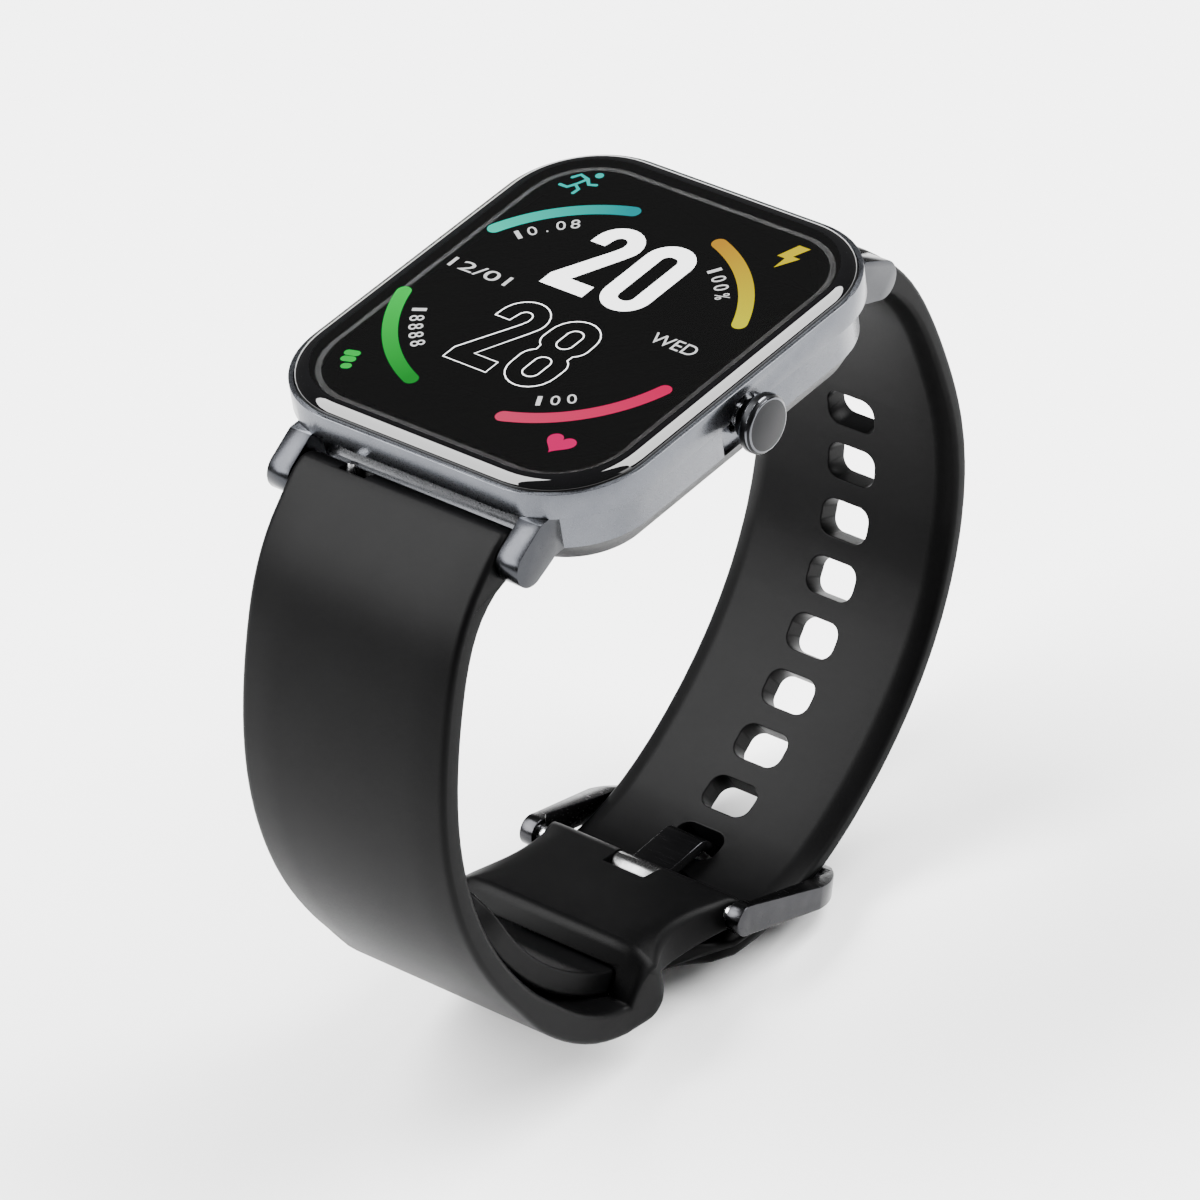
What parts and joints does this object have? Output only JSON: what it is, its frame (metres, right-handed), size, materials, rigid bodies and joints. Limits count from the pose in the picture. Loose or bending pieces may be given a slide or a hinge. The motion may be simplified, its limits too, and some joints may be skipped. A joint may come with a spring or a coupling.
{
  "type": "smartwatch",
  "caption": "Square smartwatch with rounded corners, a lit colour dial, a push crown and a tuck-through silicone strap buckled into a loop.",
  "frame": {"origin": "centre of the rear sensor window, on the face that touches the wrist", "axes": "+X towards 3 o'clock, where the crown is; +Y towards 12 o'clock; +Z out of the display"},
  "size_m": [0.0382, 0.0695, 0.0636],
  "materials": {
    "gunmetal": "anodised, satin",
    "crown_metal": "anodised, satin with a polished rim",
    "buckle_metal": "dark plated, semi-gloss",
    "bright_steel": "turned, bare",
    "cover_glass": "polished, bevelled edge",
    "display": "gloss black with a lit face",
    "silicone": "soft-touch, satin",
    "rear_plastic": "fine matt grain",
    "sensor_plastic": "polished, dark tint",
    "circuit_board": "solder mask",
    "shield_metal": "tinned sheet",
    "battery_wrap": "foil pouch",
    "chassis_plastic": "moulded",
    "seal_rubber": "soft",
    "contact_gold": "plated",
    "flex_film": "amber film"
  },
  "bodies": {
    "watch": {"case_frame": "gunmetal", "glass_gasket": "seal_rubber", "glass_lens": "cover_glass", "display_panel": "display", "display_flex": "flex_film", "inner_chassis": "chassis_plastic", "battery": "battery_wrap", "main_board": "circuit_board", "shield_can": "shield_metal", "vibration_motor": "bright_steel", "crown_switch": "shield_metal", "rear_cover": "rear_plastic", "rear_gasket": "seal_rubber", "rear_screws": "bright_steel", "charging_pins": "contact_gold", "sensor_window": "sensor_plastic", "sensor_board": "circuit_board", "crown_bushing": "contact_gold", "lower_bar_tube": "bright_steel", "upper_bar_tube": "bright_steel", "strap_buckle_half": "silicone", "strap_hole_half": "silicone", "buckle_pin": "bright_steel"},
    "crown": {"crown_cap": "crown_metal", "crown_stem": "bright_steel", "crown_clip": "bright_steel", "crown_seal": "seal_rubber"},
    "lower_release": {"lower_bar_release": "bright_steel"},
    "lower_tip": {"lower_bar_tip": "bright_steel"},
    "upper_release": {"upper_bar_release": "bright_steel"},
    "upper_tip": {"upper_bar_tip": "bright_steel"},
    "buckle": {"buckle_frame": "buckle_metal"},
    "tongue": {"buckle_tongue": "buckle_metal"}
  },
  "joints": [
    {"name": "crown_press", "type": "slide", "parent": "watch", "child": "crown", "axis": [-1, 0, 0], "range_m": [0, 0.0004], "stiffness_N_per_m": 1500, "springref_m": -0.0005},
    {"name": "lower_release_slide", "type": "slide", "parent": "watch", "child": "lower_release", "axis": [1, 0, 0], "range_m": [0, 0.0012], "stiffness_N_per_m": 400, "springref_m": -0.001},
    {"name": "lower_tip_slide", "type": "slide", "parent": "watch", "child": "lower_tip", "axis": [-1, 0, 0], "range_m": [0, 0.0012], "stiffness_N_per_m": 400, "springref_m": -0.001},
    {"name": "upper_release_slide", "type": "slide", "parent": "watch", "child": "upper_release", "axis": [1, 0, 0], "range_m": [0, 0.0012], "stiffness_N_per_m": 400, "springref_m": -0.001},
    {"name": "upper_tip_slide", "type": "slide", "parent": "watch", "child": "upper_tip", "axis": [-1, 0, 0], "range_m": [0, 0.0012], "stiffness_N_per_m": 400, "springref_m": -0.001},
    {"name": "frame_swing", "type": "hinge", "parent": "watch", "child": "buckle", "pos_m": [0, -0.0029, -0.0475], "axis": [-1, 0, 0], "range_deg": [0, 4]},
    {"name": "tongue_swing", "type": "hinge", "parent": "buckle", "child": "tongue", "pos_m": [0, -0.0029, -0.0475], "axis": [-1, 0, 0], "range_deg": [0, 3]}
  ]
}
